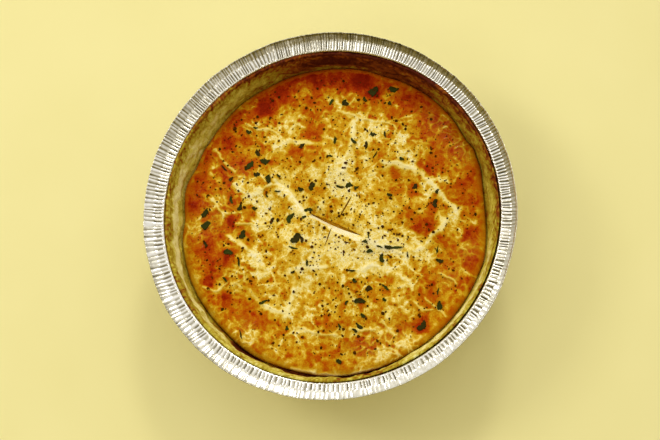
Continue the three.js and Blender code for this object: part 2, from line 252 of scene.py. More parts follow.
PALE_AREAS = {
    0.42: [(18, -18, 6)],
    0.4: [(3, 18, 7), (30, -17, 5)],
    0.36: [(-38, -22, 6), (48, -22, 3.5)],
    0.34: [(33, 38, 5), (3, 22, 5)],
    0.32: [(48, 13, 5), (25, -69, 4)],
    0.3: [(62, -10, 3), (20, -58, 3), (42, -18, 6), (36, -64, 5), (43, -62, 4)],
    0.28: [(-43, 46, 3.5), (38, 32, 4), (60, 0, 4), (-46, 16, 5), (-38, 11, 5), (-25, 14, 4), (4, -20, 6),
           (-21, -8, 4)],
    0.26: [(12, 49, 6), (23, 46, 6), (-17, 4, 4)],
    0.24: [(-32, 33, 3), (8, 8, 3), (-17, 10, 4), (-4, -6, 4), (-58, -46, 5), (33, -43, 5)],
    0.22: [(5, 53, 6), (57, -6, 5), (43, 5, 4), (-45, -26, 4), (-49, -30, 3.5), (-58, -36, 3.5),
           (-50, -54, 3.5), (23, -12, 6)],
    0.2: [(-2, 63, 4), (15, 41, 6), (40, 25, 4), (6, 29, 5), (-34, 5, 5), (-28, -69, 5), (0, -42, 4),
          (10, -47, 4), (11, -59, 3), (10, -26, 4), (22, -4, 4), (30, -23, 5), (44, -37, 2.5), (18, 2, 4),
          (38, -12, 4), (-28, 54, 3), (-66, -37, 4)],
    0.18: [(-30, 43, 6), (-27, 23, 4), (-31, -36, 4), (21, -49, 5)],
    0.16: [(-41, 57, 5), (-67, -27, 4), (-18, 29, 3), (-58, 10, 4), (-24, -47, 5), (-40, -60, 4),
           (21, -23, 7), (52, -14, 4), (38, -50, 4), (-12, -6, 7)],
    0.15: [(28, -48, 3), (3, -63, 3), (-15, 67, 4), (67, -4, 3)],
    0.14: [(-3, 52, 4), (15, 59, 3), (55, 17, 4), (-17, -38, 5), (-14, -29, 6), (-5, -30, 5),
           (-12, -44, 4), (-10, -62, 6)],
    0.12: [(-21, 44, 6), (-38, 46, 6), (-36, -4, 4), (-70, -2, 4), (-33, -27, 5), (-17, -55, 5),
           (30, 60, 4)],
    0.1: [(38, -24, 6), (42, 38, 3)],
    0.08: [(-22, 52, 6), (-24, 38, 5), (34, 45, 5)],
    0.06: [(34, -32, 4), (-18, -72, 4)],
    0.05: [(15, -36, 5)],
}

# Herb flakes: the large ones by place (x, y, length, width, turn), then a seeded draw as in the solid
LARGE_FLAKES = [
    (-42, 27, 5, 4, 60), (-34, 29, 4.5, 3.5, 0), (-32, 19.5, 4, 3, 80), (-10, 15, 3.6, 3.2, 30),
    (-21, -0.5, 5, 3.4, 60), (-18, -11, 5, 4.4, 75), (-64, -3, 4.6, 4, 10), (-64.5, 3, 4, 3, 70),
    (-45, -8.5, 4, 4, 45), (-52, -17.5, 4.2, 2.8, 0), (21, 64, 5, 4, 70), (31, 65, 4.6, 3.5, 0),
    (8.5, 15, 3.2, 2.6, 0), (51, 5, 4.2, 2.8, 80), (31, -17, 7, 1.1, 0), (24.5, -22, 4, 2.5, 90),
    (13.5, -43, 5, 2.5, 0), (18, -37, 3.2, 3, 0), (52, -45.5, 3.8, 3, 70), (43.5, -55, 5, 4, 60),
]
SMALL_FLAKES = 22
SMALL_FLAKE_LENGTH = (2, 3.6)
SMALL_FLAKE_SLENDER = (0.45, 0.85)
FLAKE_FIELD_RADIUS = 66
FLAKE_SEED = 7
FLAKE_THICKNESS = 0.3
LEAF_SEED = 11
LEAF_ROWS, LEAF_COLUMNS = 9, 5
LEAF_TONES = (0.0, 0.75)
SLIVER_LENGTH = (1.8, 4.2)
SLIVER_WIDTH = (0.8, 2.2)
# Smaller shreds of herb: x, y
SLIVER_PLACES = [
    (-38, 33.5), (-55, 26), (-38, 22), (-27, 21), (-12, 3), (-14, -0.5), (-19.3, -16), (-51, 9.5),
    (-27.5, 13), (-33, 11), (-27.5, -1.5), (-46.5, -22.5), (-12.5, -23.5), (-19.5, -28), (-53.5, -31),
    (-34, -42.5), (-45.5, -58), (-22.5, -55.5), (-0.5, 59), (6, 59), (29, 57.5), (1.5, 38.5), (-1, 30),
    (21.5, 30.5), (26.5, 41), (4, 14.5), (12, 13.5), (41, 14), (52, 11), (18, -11), (16.5, -14),
    (23.5, -16.5), (37, -20.5), (51.5, -18), (52.5, -23.5), (9.5, -28), (11, -33), (26, -36.5), (7, -43.5),
    (25.5, -42.5), (15, -50), (51.5, -38.5), (13, -55), (3, -72),
]

# Ground pepper
PEPPER_SPECKS = 1900
PEPPER_SIZE = (0.45, 1.4)
PEPPER_STRETCH = (0.5, 1.4)
PEPPER_FLATNESS = 0.6
PEPPER_ROUGHNESS = 0.18
PEPPER_FIELD_RADIUS = 72
PEPPER_SEED = 5

# Pastry case
PASTRY_FLOOR = 0.9
CREST_HEIGHT = 40.4
CREST_WIDTH = 1
CREST_LIFT = 0.7  # crumbs and flakes along the top of the wall
LID_CLEARANCE = 0.7
GAP = 0.3  # between the pastry and its neighbours
WALL_WAVES = [(3, 0.35, 0.1, 30), (7, 0.3, 0.16, 100), (13, 0.2, 0.14, 200)]  # count, rise, swell, phase
WALL_STEPS = 960
WALL_ROWS = 34
# Dark gaps between the lid and the wall, painted with shade up the wall as far as the last column says
EDGE_GAPS = [(239, 7, 0.5), (257, 9, 0.3), (276, 14, 0.72)]  # angle, half-width, dark up to here
EDGE_GAP_DEPTH = 2.0  # the wall's foot stands this far off the lid there
CREVICE = 0.65  # the top of the wall stands this far off the foil on one side
CREVICE_TOWARD = 335
FOOT_TO_MIDDLE = (0.08, 0.3)  # shares of its height between which one tone passes into the next
MIDDLE_TO_TOP = (0.55, 0.85)
# Browning of the wall around the pie: angle, top, middle, foot
WALL_TONES = [
    (0, 0.62, 0.3, 0.5), (8, 0.66, 0.36, 0.52), (15, 0.62, 0.42, 0.46), (28, 0.64, 0.5, 0.4),
    (43, 0.68, 0.6, 0.68), (60, 0.9, 0.72, 0.78), (73, 0.96, 0.9, 0.73), (86, 0.74, 1.04, 0.62),
    (100, 0.72, 0.92, 0.68), (111, 0.7, 0.52, 0.64), (123, 0.56, 0.36, 0.44), (135, 0.4, 0.2, 0.36),
    (147, 0.4, 0.2, 0.24), (157, 0.46, 0.12, 0.3), (168, 0.5, -0.08, 0.22), (182, 0.5, 0.0, 0.32),
    (195, 0.42, -0.08, 0.36), (212, 0.5, -0.12, 0.38), (226, 0.32, 0.16, 0.62), (245, 0.2, 0.1, 0.4),
    (258, 0.2, 0.16, 0.4), (272, 0.54, 0.3, 0.4), (285, 0.5, 0.2, 0.45), (298, 0.2, 0.14, 0.5),
    (312, 0.44, -0.04, 0.16), (332, 0.4, 0.04, 0.3), (347, 0.46, 0.08, 0.2),
]

# Colour ramps: place on the ramp, colour
CRUST_COLOURS = [
    (0.0, (0.97, 0.89, 0.58)), (0.06, (0.94, 0.81, 0.34)), (0.16, (0.84, 0.63, 0.12)),
    (0.32, (0.65, 0.39, 0.014)), (0.5, (0.52, 0.21, 0.003)), (0.68, (0.45, 0.085, 0.001)),
    (0.84, (0.34, 0.020, 0.001)), (1.0, (0.20, 0.005, 0.001)),
]
PASTRY_COLOURS = [
    (0.0, (0.92, 0.84, 0.34)), (0.12, (0.77, 0.665, 0.17)), (0.26, (0.645, 0.535, 0.068)),
    (0.5, (0.41, 0.288, 0.014)), (0.75, (0.27, 0.060, 0.004)), (1.0, (0.08, 0.010, 0.002)),
]
FOIL_COLOURS = [
    (0.0, (0.10, 0.09, 0.06)), (0.5, (0.40, 0.37, 0.27)),
    (0.85, (0.78, 0.745, 0.63)), (1.0, (0.93, 0.91, 0.86)),
]
HERB_COLOURS = [
    (0.0, (0.035, 0.016, 0.003)), (0.35, (0.028, 0.024, 0.003)), (0.7, (0.030, 0.036, 0.004)),
    (1.0, (0.060, 0.085, 0.008)),
]
PEPPER_COLOURS = [(0.0, (0.040, 0.011, 0.001)), (0.5, (0.10, 0.025, 0.001)), (1.0, (0.24, 0.060, 0.001))]
FLOOR_COLOURS = [(0.3, (0.90, 0.82, 0.36)), (0.7, (0.92, 0.84, 0.38))]
STUDIO_COLOURS = [(0.0, (0.21, 0.155, 0.02)), (1.0, (0.96, 0.94, 0.89))]  # dim side, bright side

# Camera: looks down on the pie from just off the vertical
PHOTO_WIDTH, PHOTO_HEIGHT = 660, 440
CAMERA_DISTANCE = 600
CAMERA_TILT = 13.75  # from straight down
CAMERA_SIDE = 28.6  # the camera lies this far round from the near side, to the right
MM_PER_PIXEL = 0.4866  # at the flange
FLANGE_CENTRE_PIXEL = (329.68, 210.88)
SENSOR_WIDTH = 36

# Floor and light
FLOOR_REACH = 3000
FLOOR_DROP = 0.3
BRIGHT_SIDE = (0.18, 0.80, 0.57)
LIGHT_TARGET = (0, 0, 30)
LIGHT_COLOUR = (1.0, 0.98, 0.95)
LIGHTS = [  # name, place, width and height, power in watts
    ("key", (200, 1100, 880), (240, 180), 4),
    ("near_fill", (-400, -650, 1200), (600, 600), 2.0),
    ("left_fill", (-950, 400, 1000), (400, 400), 3.8),
]


# Small helpers

def seeded_draw(seed):
    """The same repeatable draws between 0 and 1 as the solid's flakes use."""
    state = seed
    while True:
        state = (state * 1664525 + 1013904223) & 0xFFFFFFFF
        yield state / 2 ** 32


def mix(low, high, share):
    return low + (high - low) * share


def smooth_step(low, high, value):
    share = np.clip((value - low) / (high - low), 0, 1)
    return share * share * (3 - 2 * share)


def noise_at(points, size, seed):
    """Smooth noise, about -1 to 1, with features of this size."""
    shift = Vector((seed * 17.31, seed * 5.17, seed * 9.73))
    return np.array([noise.noise(Vector(point) / size + shift) for point in points])


def noise_sum(points, *layers):
    """Layers of noise added up; each has an amount, a size and a seed."""
    return sum(amount * noise_at(points, size, seed) for amount, size, seed in layers)


def noise_lines(points, *layers):
    """1 along thin wandering lines; each layer of them has a size, a seed and a width."""
    lines = [np.exp(-(noise_at(points, size, seed) / width) ** 2) for size, seed, width in layers]
    return np.max(lines, axis=0)


def toward(angle, direction):
    """1 on the side of the pie that faces the direction, -1 on the other side."""
    return np.cos(angle - math.radians(direction))


def degrees_from(angle, direction):
    """How far round the pie an angle in radians lies from a direction in degrees."""
    return (np.degrees(angle) - direction + 180) % 360 - 180


def around(table, angle, column=1):
    """A value read off a table whose rows start with an angle in degrees; the table closes on itself."""
    values = np.array(table, float)
    return np.interp(np.degrees(angle), values[:, 0], values[:, column], period=360)


# Meshes

def flat_points(x, y):
    return np.column_stack([x, y, np.zeros_like(x)])


def ring_points(radius, height, angle):
    radius, height = np.broadcast_to(radius, angle.shape), np.broadcast_to(height, angle.shape)
    return np.column_stack([radius * np.cos(angle), radius * np.sin(angle), height])


def band_faces(rows, steps, first=0):
    """Quads between neighbouring rows of points, each row closed on itself."""
    row = first + np.arange(rows - 1)[:, None] * steps
    step = np.arange(steps)[None, :]
    following = (step + 1) % steps
    corners = [row + step, row + following, row + steps + following, row + steps + step]
    return np.stack(corners, -1).reshape(-1, 4).tolist()


def fan_faces(centre, first, steps, upward):
    """Triangles from a middle point to a closed row of points."""
    faces = []
    for step in range(steps):
        near, far = first + step, first + (step + 1) % steps
        faces.append((centre, near, far) if upward else (centre, far, near))
    return faces


def make_mesh(name, points, faces):
    mesh = bpy.data.meshes.new(name)
    mesh.from_pydata((np.asarray(points) * MM).tolist(), [], faces)
    mesh.shade_smooth()
    piece = bpy.data.objects.new(name, mesh)
    bpy.context.scene.collection.objects.link(piece)
    return piece


def closed_rings(name, rings, lower_centre, upper_centre):
    """A closed piece through rings of points, with the first ring closed below and the last one above."""
    steps = len(rings[0])
    points = np.vstack(rings + [[lower_centre, upper_centre]])
    faces = band_faces(len(rings), steps)
    faces += fan_faces(len(points) - 2, 0, steps, upward=False)
    faces += fan_faces(len(points) - 1, (len(rings) - 1) * steps, steps, upward=True)
    return make_mesh(name, points, faces), points


def set_attribute(mesh, name, values):
    attribute = mesh.attributes.new(name, "FLOAT", "POINT")
    attribute.data.foreach_set("value", np.asarray(values, np.float32))


def mesh_points(mesh):
    flat = np.empty(3 * len(mesh.vertices), np.float32)
    mesh.vertices.foreach_get("co", flat)
    return flat.reshape(-1, 3).astype(float) / MM


def finish_piece(piece, material, node=None):
    piece.data.materials.clear()
    piece.data.materials.append(material)
    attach(piece, "root")
    if node:
        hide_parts(node)


# Node materials

def set_inputs(tree, node, inputs):
    """Sets each input to a value, or links it where the value is another node's output."""
    for name, value in inputs.items():
        if isinstance(value, bpy.types.NodeSocket):
            tree.links.new(value, node.inputs[name])
        else:
            node.inputs[name].default_value = value


def make_material(name, shader_inputs):
    """A material whose shader gets the inputs that a function of its node tree returns."""
    material = bpy.data.materials.new(name)
    material.use_nodes = True
    tree = material.node_tree
    set_inputs(tree, tree.nodes["Principled BSDF"], shader_inputs(tree))
    return material


def add_node(tree, kind, inputs=None, **settings):
    node = tree.nodes.new(kind)
    for name, value in settings.items():
        setattr(node, name, value)
    set_inputs(tree, node, inputs or {})
    return node


def object_noise(tree, size, detail=3):
    """Noise from 0 to 1 in the object's own space, with features of this size in millimetres."""
    place = add_node(tree, "ShaderNodeTexCoord").outputs["Object"]
    inputs = {"Vector": place, "Scale": 1 / (size * MM), "Detail": detail, "Roughness": 0.55}
    return add_node(tree, "ShaderNodeTexNoise", inputs).outputs["Fac"]


def attribute(tree, name):
    return add_node(tree, "ShaderNodeAttribute", attribute_name=name).outputs["Fac"]


def math_node(tree, operation, first, second, third=0.0):
    inputs = {0: first, 1: second, 2: third}
    return add_node(tree, "ShaderNodeMath", inputs, operation=operation).outputs[0]


def ramp(tree, factor, stops):
    node = add_node(tree, "ShaderNodeValToRGB", {"Fac": factor})
    elements = node.color_ramp.elements
    while len(elements) < len(stops):
        elements.new(1.0)
    for element, (position, colour) in zip(elements, stops):
        element.position = position
        element.color = (*colour, 1)
    return node.outputs["Color"]


def bump(tree, size, detail, depth, strength):
    inputs = {"Height": object_noise(tree, size, detail), "Distance": depth * MM, "Strength": strength}
    return add_node(tree, "ShaderNodeBump", inputs).outputs["Normal"]


def varied(tree, base, size, amount, share=1.0):
    """The base value pushed up and down by noise of this size, fully where the share is 1."""
    swing = math_node(tree, "SUBTRACT", object_noise(tree, size), 0.5)
    swing = math_node(tree, "MULTIPLY", swing, share)
    return math_node(tree, "MULTIPLY_ADD", swing, amount, base)


def crust_look(tree):
    grain = attribute(tree, "grain")
    # Browning from the mesh, with painted shade in places
    brown_and_shade = varied(tree, attribute(tree, "brown_and_shade"), size=2.0, amount=0.34, share=grain)
    brown_and_shade = varied(tree, brown_and_shade, size=0.7, amount=0.55, share=grain)
    return {
        "Base Color": ramp(tree, brown_and_shade, CRUST_COLOURS),
        "Roughness": varied(tree, 0.46, size=3.0, amount=0.25),
        "Specular IOR Level": 0.14,
        "Specular Tint": (1.0, 0.45, 0.03, 1),
        "Coat Weight": attribute(tree, "gloss"),
        "Coat Roughness": 0.1,
        "Normal": bump(tree, size=0.8, detail=4, depth=0.25, strength=0.65),
    }


def pastry_look(tree):
    # Browning from the mesh, with painted shade in places
    brown_and_shade = varied(tree, attribute(tree, "brown_and_shade"), size=2.5, amount=0.26)
    brown_and_shade = varied(tree, brown_and_shade, size=0.8, amount=0.2)
    return {
        "Base Color": ramp(tree, brown_and_shade, PASTRY_COLOURS),
        "Roughness": varied(tree, 0.7, size=3.0, amount=0.2),
        "Specular IOR Level": 0.08,
        "Normal": bump(tree, size=0.7, detail=4, depth=0.3, strength=0.5),
    }


def foil_look(tree):
    shade = varied(tree, attribute(tree, "shade"), size=9, amount=0.12)
    return {
        "Base Color": ramp(tree, shade, FOIL_COLOURS),
        "Metallic": 1.0,
        "Roughness": varied(tree, 0.25, size=6, amount=0.12),
        "Normal": bump(tree, size=7, detail=1, depth=0.2, strength=0.2),
    }


def herb_look(tree):
    tone = varied(tree, attribute(tree, "tone"), size=0.8, amount=0.35)
    return {
        "Base Color": ramp(tree, tone, HERB_COLOURS),
        "Specular IOR Level": 0.1,
        "Specular Tint": (0.9, 1.0, 0.3, 1),
        "Roughness": varied(tree, 0.55, size=0.6, amount=0.25),
        "Normal": bump(tree, size=0.4, detail=3, depth=0.12, strength=0.5),
    }


def pepper_look(tree):
    tone = varied(tree, attribute(tree, "tone"), size=0.4, amount=0.4)
    return {
        "Base Color": ramp(tree, tone, PEPPER_COLOURS),
        "Specular IOR Level": 0.1,
        "Specular Tint": (1.0, 0.6, 0.04, 1),
        "Roughness": varied(tree, 0.6, size=0.5, amount=0.2),
    }


def floor_look(tree):
    colour = ramp(tree, object_noise(tree, size=60, detail=2), FLOOR_COLOURS)
    return {"Base Color": colour, "Roughness": 0.8}


# Shape of the crust lid

def lid_radius(angle):
    """Edge of the lid at an angle in radians."""
    radius = np.full_like(angle, LID_RADIUS)
    for at, swell, half_width in EDGE_SWELLS:
        radius += swell * np.exp(-(degrees_from(angle, at) / half_width) ** 2)
    return radius


def lid_top(x, y):
    """Height of the lid's top without creases, the same as the solid's."""
    edge = lid_radius(np.arctan2(y, x))
    radius = np.hypot(x, y)
    reach = radius / edge
    height = LID_EDGE_HEIGHT + LID_CROWN * (1 - reach ** 2)
    for wavelength, direction, rise, phase in SURFACE_WAVES:
        along = x * math.cos(math.radians(direction)) + y * math.sin(math.radians(direction))
        height += rise * (1 - reach ** 4) * np.sin(TAU * along / wavelength + math.radians(phase))
    into_roll = np.clip((radius - edge + EDGE_ROLL) / EDGE_ROLL, 0, 1)
    return height - EDGE_DROP * (1 - np.sqrt(1 - into_roll ** 2))


def smooth_path(points, pieces=8):
    """A Catmull-Rom curve through the points, as short straight pieces."""
    points = np.array(points, float)
    padded = np.vstack([2 * points[0] - points[1], points, 2 * points[-1] - points[-2]])
    path = []
    for before, start, end, after in zip(padded, padded[1:], padded[2:], padded[3:]):
        for share in np.arange(pieces) / pieces:
            path.append(0.5 * (2 * start + (end - before) * share
                               + (2 * before - 5 * start + 4 * end - after) * share ** 2
                               + (3 * start - before - 3 * end + after) * share ** 3))
    return np.vstack([path, points[-1]])


def path_distance(path, x, y):
    """Distance from each point to a path, how far along it (0 to 1), and which side (+ is left)."""
    best = np.full_like(x, np.inf)
    along = np.zeros_like(x)
    side = np.zeros_like(x)
    for index, (start, end) in enumerate(zip(path, path[1:])):
        step = end - start
        offset_x, offset_y = x - start[0], y - start[1]
        share = np.clip((offset_x * step[0] + offset_y * step[1]) / (step @ step), 0, 1)
        distance = np.hypot(offset_x - share * step[0], offset_y - share * step[1])
        closer = distance < best
        best = np.where(closer, distance, best)
        along = np.where(closer, (index + share) / (len(path) - 1), along)
        side = np.where(closer, np.sign(step[0] * offset_y - step[1] * offset_x), side)
    return best, along, side


def crease_lines(paths, width, x, y):
    """1 along the creases, and 1 on the edges of the layers that lap over them from the left."""
    lines, laps = np.zeros_like(x), np.zeros_like(x)
    for path in paths:
        distance, along, side = path_distance(smooth_path(path), x, y)
        window = smooth_step(0, 0.15, along) * smooth_step(1, 0.85, along)
        lines = np.maximum(lines, np.exp(-(distance / width) ** 2))
        laps = np.maximum(laps, np.where(side > 0, window * np.exp(-distance / (3 * width)), 0))
    return lines, laps


def fold_shape(x, y):
    """Rise of the crust beside the folds, 1 on the pale cut faces, and 1 where the far sides turn down."""
    rise, face, turned = np.zeros_like(x), np.zeros_like(x), np.zeros_like(x)
    for path, sink, lip_rise, widths, paleness in FOLDS:
        distance, along, side = path_distance(smooth_path(path), x, y)
        window = smooth_step(0, 0.1, along) * smooth_step(1, 0.84, along)
        width = mix(*widths, smooth_step(0.3, 0.65, along))
        near_side = side < 0
        down = window * np.exp(-(distance / FOLD_SINK_WIDTH) ** 2)
        settle = np.exp(-(np.maximum(distance - width, 0) / width) ** 2)
        lip = window * settle * mix(-sink, lip_rise, smooth_step(0, 1, distance / width))
        rise += np.where(near_side, lip, -sink * down)
        pale = paleness * window * smooth_step(1, 0.75, distance / width)
        face = np.maximum(face, np.where(near_side, pale, 0))
        turned = np.maximum(turned, np.where(near_side, 0, paleness * down))
    return rise, face, turned


# Marks and browning of the crust

def spots(places, x, y):
    """Sum of soft round spots, at most 1."""
    total = np.zeros_like(x)
    for at_x, at_y, radius, strength in places:
        total += strength * np.exp(-((x - at_x) ** 2 + (y - at_y) ** 2) / radius ** 2)
    return np.clip(total, 0, 1)


def patches(groups, x, y, ragged, core=0):
    """The strongest of the ragged-edged patches that cover each point, with deeper cores if asked for."""
    cover = np.zeros_like(x)
    for strength, places in groups.items():
        for at_x, at_y, radius in places:
            distance = np.hypot(x - at_x, y - at_y) / radius + ragged
            depth = smooth_step(1.45, 0.55, distance) + core * smooth_step(0.75, 0.1, distance)
            cover = np.maximum(cover, strength * depth)
    return cover


def glaze_cells(points, size):
    """Cracked glaze: closeness to the cell borders (0 to 1) and a level from -1 to 1 for each cell."""
    border = np.empty(len(points))
    level = np.empty(len(points))
    for index, point in enumerate(points):
        distances, centres = noise.voronoi(Vector(point) / size)
        border[index] = distances[1] - distances[0]
        level[index] = noise.cell(centres[0] * 7.7)
    return np.exp(-(border / 0.1) ** 2), level


def crust_marks(x, y):
    """What marks the crust at each point: most from 0 to 1, the mottling from about -1 to 1."""
    points = flat_points(x, y)
    warp_x = x + noise_sum(points, (1.3, 6, 1), (0.6, 2, 2))
    warp_y = y + noise_sum(points, (1.3, 6, 3), (0.6, 2, 4))
    warped = flat_points(warp_x, warp_y)
    marks = SimpleNamespace()
    marks.ridge, ridge_lap = crease_lines(RIDGES, RIDGE_WIDTH, warp_x, warp_y)
    marks.ridge *= mix(0.6, 1, smooth_step(-0.5, 0.2, noise_sum(points, (1, 7, 14), (0.3, 1.8, 15))))
    marks.fine, fine_lap = crease_lines(FINE_CREASES, FINE_WIDTH, warp_x, warp_y)
    marks.lap = np.maximum(ridge_lap, 0.7 * fine_lap)
    marks.border, marks.level = glaze_cells(warped, GLAZE_CELL)
    marks.border *= smooth_step(-0.1, 0.3, noise_at(points, 17, 5))
    marks.veins = noise_lines(warped, (9, 9, 0.05), (6, 10, 0.05))
    marks.veins *= smooth_step(0.0, 0.35, noise_at(points, 11, 11))
    marks.wrinkle = noise_lines(warped, (3.6, 12, 0.13)) * spots(WRINKLES, x, y)
    marks.flaky = noise_lines(warped, (3.2, 45, 0.13), (5, 46, 0.09))
    marks.broad = noise_at(points, 14, 6)
    marks.middle = noise_at(warped, 6.5, 7)
    marks.small = noise_at(warped, 2.4, 8)
    marks.red_spot = smooth_step(0.3, 0.6, noise_at(warped, 3.6, 13))
    marks.speck = smooth_step(0.42, 0.62, noise_at(points, 1.3, 48))
    marks.speck *= smooth_step(-0.3, 0.3, noise_at(points, 12, 49))
    ragged = 0.35 * marks.small + 0.2 * marks.middle
    marks.pale = patches(PALE_AREAS, warp_x, warp_y, ragged)
    marks.dark = patches(BROWN_PATCHES, warp_x, warp_y, ragged, PATCH_CORE)
    marks.fold_rise, marks.fold_face, marks.fold_turned = fold_shape(x, y)
    return marks


def crust_height(x, y, marks):
    """Height of the baked surface; the cut faces of the folds stay smooth."""
    lines = RIDGE_RISE * marks.ridge + FINE_RISE * marks.fine + GLAZE_RISE * marks.border
    lines += VEIN_RISE * marks.veins + WRINKLE_RISE * marks.wrinkle
    rough = LAP_RISE * marks.lap + LUMP_RISE * marks.middle + GRIT_RISE * marks.small
    rough += FLAKY_RISE * marks.pale * marks.flaky
    return lid_top(x, y) + lines + rough * (1 - marks.fold_face) + marks.fold_rise


def crust_brown_and_shade(x, y, marks):
    """How browned the crust is away from its creases and folds, with painted shade near the far edge and on
    the rolled edge; and a share that is 1 on the rolled edge.
    """
    angle = np.arctan2(y, x)
    inside = lid_radius(angle) - np.hypot(x, y)
    brown_and_shade = mix(MIDDLE_BROWN, OUTER_BROWN, smooth_step(*BROWNING_DEPTHS, inside))
    brown_and_shade += FAR_LEFT_BROWN * (0.9 * y - 0.4 * x) / LID_RADIUS
    brown_and_shade += RED_SPOT_BROWN * marks.red_spot * mix(0.3, 1, smooth_step(55, 25, inside))
    brown_and_shade += MOTTLE_BROWN["broad"] * marks.broad + MOTTLE_BROWN["small"] * marks.small
    brown_and_shade += MOTTLE_BROWN["middle"] * (smooth_step(-0.12, 0.22, marks.middle) - 0.5)
    brown_and_shade += MOTTLE_BROWN["cell"] * marks.level * (1 - marks.border) - FLAKY_PALE * marks.flaky
    brown_and_shade += PATCH_SHARE * (marks.dark - marks.pale * mix(0.85, 1.4, marks.flaky))
    # Painted shade of the wall near the lid's far edge
    brown_and_shade += FAR_EDGE_SHADE * smooth_step(0.35, 0.8, np.sin(angle)) * smooth_step(16, 6, inside)
    rolled = smooth_step(EDGE_BAND + 0.5, EDGE_BAND - 0.5, inside + 0.4 * marks.small)
    # The rolled edge takes its tones around the pie: browning, and painted shade on the far side and where
    # it turns down
    brown_and_shade = mix(brown_and_shade, around(EDGE_BROWN_AND_SHADE, angle) + 0.1 * marks.small, 0.75 * rolled)
    lines = GLAZE_PALE * marks.border + VEIN_PALE * marks.veins
    # The wrinkles are paler, partly as paler dough and partly as painted glints
    brown_and_shade -= lines * smooth_step(0.85, 0.5, brown_and_shade) + WRINKLE_PALE_AND_GLINT * marks.wrinkle
    held_back = DEEP_SHARE * np.maximum(brown_and_shade - DEEP_BROWN, 0)
    return np.clip(brown_and_shade, PALEST_BROWN, DEEP_BROWN) + held_back, rolled


def crust_surface(x, y):
    """Height of the baked surface, how browned it is (0 pale to 1 burnt, with painted shade in places) and
    how grainy (0 to 1).
    """
    marks = crust_marks(x, y)
    brown_and_shade, rolled = crust_brown_and_shade(x, y, marks)
    brown_and_shade = mix(brown_and_shade, RIDGE_BROWN, 0.9 * smooth_step(0.12, 0.95, marks.ridge))
    brown_and_shade = mix(brown_and_shade, FINE_BROWN, 0.85 * marks.fine)
    brown_and_shade += SPECK_BROWN * marks.speck * (1 - marks.fold_face)
    # Painted shade where the far sides of the folds turn down
    brown_and_shade = np.clip(brown_and_shade + TURNED_SHADE * marks.fold_turned, 0, 1)
    smooth = np.max([marks.ridge, marks.fine, marks.wrinkle, marks.veins, rolled], axis=0)
    grain = mix(1, DARK_GRAIN, smooth_step(0.4, 0.7, brown_and_shade)) * mix(1, LINE_GRAIN, smooth)
    return crust_height(x, y, marks), mix(brown_and_shade, 0.0, marks.fold_face), grain


# Crust lid

def lid_grid():
    """Rings of six times their number of points, so that the triangles are alike all over the disc."""
    x, y = [np.zeros(1)], [np.zeros(1)]
    for ring in range(1, LID_RINGS + 1):
        angle = TAU * np.arange(6 * ring) / (6 * ring)
        radius = lid_radius(angle) * ring / LID_RINGS
        x.append(radius * np.cos(angle))
        y.append(radius * np.sin(angle))

    def at(ring, step):
        return 1 + 3 * ring * (ring - 1) + step % (6 * ring) if ring else 0

    faces = []
    for ring in range(LID_RINGS):
        for sextant in range(6):
            for step in range(ring + 1):
                inner, outer = sextant * ring + step, sextant * (ring + 1) + step
                faces.append((at(ring, inner), at(ring + 1, outer), at(ring + 1, outer + 1)))
                if step < ring:
                    faces.append((at(ring, inner), at(ring + 1, outer + 1), at(ring, inner + 1)))
    return np.concatenate(x), np.concatenate(y), faces


def slit_cutter(width, depth, path):
    """A blade pointed at both ends that cuts the lid down to the slit's depth."""
    start, middle, end = (np.array(point, float) for point in path)
    along = (end - start) / np.linalg.norm(end - start)
    side = np.array([-along[1], along[0]]) * width
    outline = []
    for control, first, last in ((middle - side, start, end), (middle + side, end, start)):
        for share in np.arange(12) / 12:
            outline.append((1 - share) ** 2 * first + 2 * share * (1 - share) * control + share ** 2 * last)
    count = len(outline)
    floor = lid_top(middle[:1], middle[1:])[0] - depth
    points = [(*point, height) for height in (floor, floor + 3 * depth) for point in outline]
    faces = band_faces(2, count) + [tuple(range(count))[::-1], tuple(range(count, 2 * count))]
    return make_mesh("slit_cutter", points, faces)


def cut(piece, cutters):
    """Cut the cutters out of the piece and drop them."""
    for cutter in cutters:
        boolean = piece.modifiers.new("cut", "BOOLEAN")
        boolean.operation = "DIFFERENCE"
        boolean.solver = "MANIFOLD"
        boolean.object = cutter
    graph = bpy.context.evaluated_depsgraph_get()
    result = bpy.data.meshes.new_from_object(piece.evaluated_get(graph))
    piece.modifiers.clear()
    piece.data = result
    for cutter in cutters:
        bpy.data.objects.remove(cutter)


def lid_block():
    """The closed lid before its slits are cut."""
    x, y, faces = lid_grid()
    height, _, _ = crust_surface(x, y)
    count = 6 * LID_RINGS
    edge, below = len(x) - count, len(x)
    angle = TAU * np.arange(count) / count
    skirt = ring_points(lid_radius(angle) - LID_UNDERCUT, LID_UNDERSIDE, angle)
    points = np.vstack([np.column_stack([x, y, height]), skirt, [(0, 0, LID_UNDERSIDE)]])
    faces += [face[::-1] for face in band_faces(2, count, edge)]
    faces += fan_faces(below + count, below, count, upward=False)
    return make_mesh("crust_lid", points, faces)


def crust_piece():
    piece = lid_block()
    cut(piece, [slit_cutter(*slit) for slit in SLITS])
    mesh = piece.data
    x, y, z = mesh_points(mesh).T
    surface, brown_and_shade, grain = crust_surface(x, y)
    in_slit = smooth_step(0.1, 1.0, surface - z) * (np.hypot(x, y) < SLIT_FIELD)
    set_attribute(mesh, "brown_and_shade", mix(brown_and_shade, SLIT_BROWN, in_slit))
    set_attribute(mesh, "grain", grain)
    set_attribute(mesh, "gloss", WRINKLE_GLOSS * spots(WRINKLES, x, y))
    mesh.shade_smooth()
    mesh.set_sharp_from_angle(angle=math.radians(SHARP_ANGLE))
    return piece


# Herbs and pepper

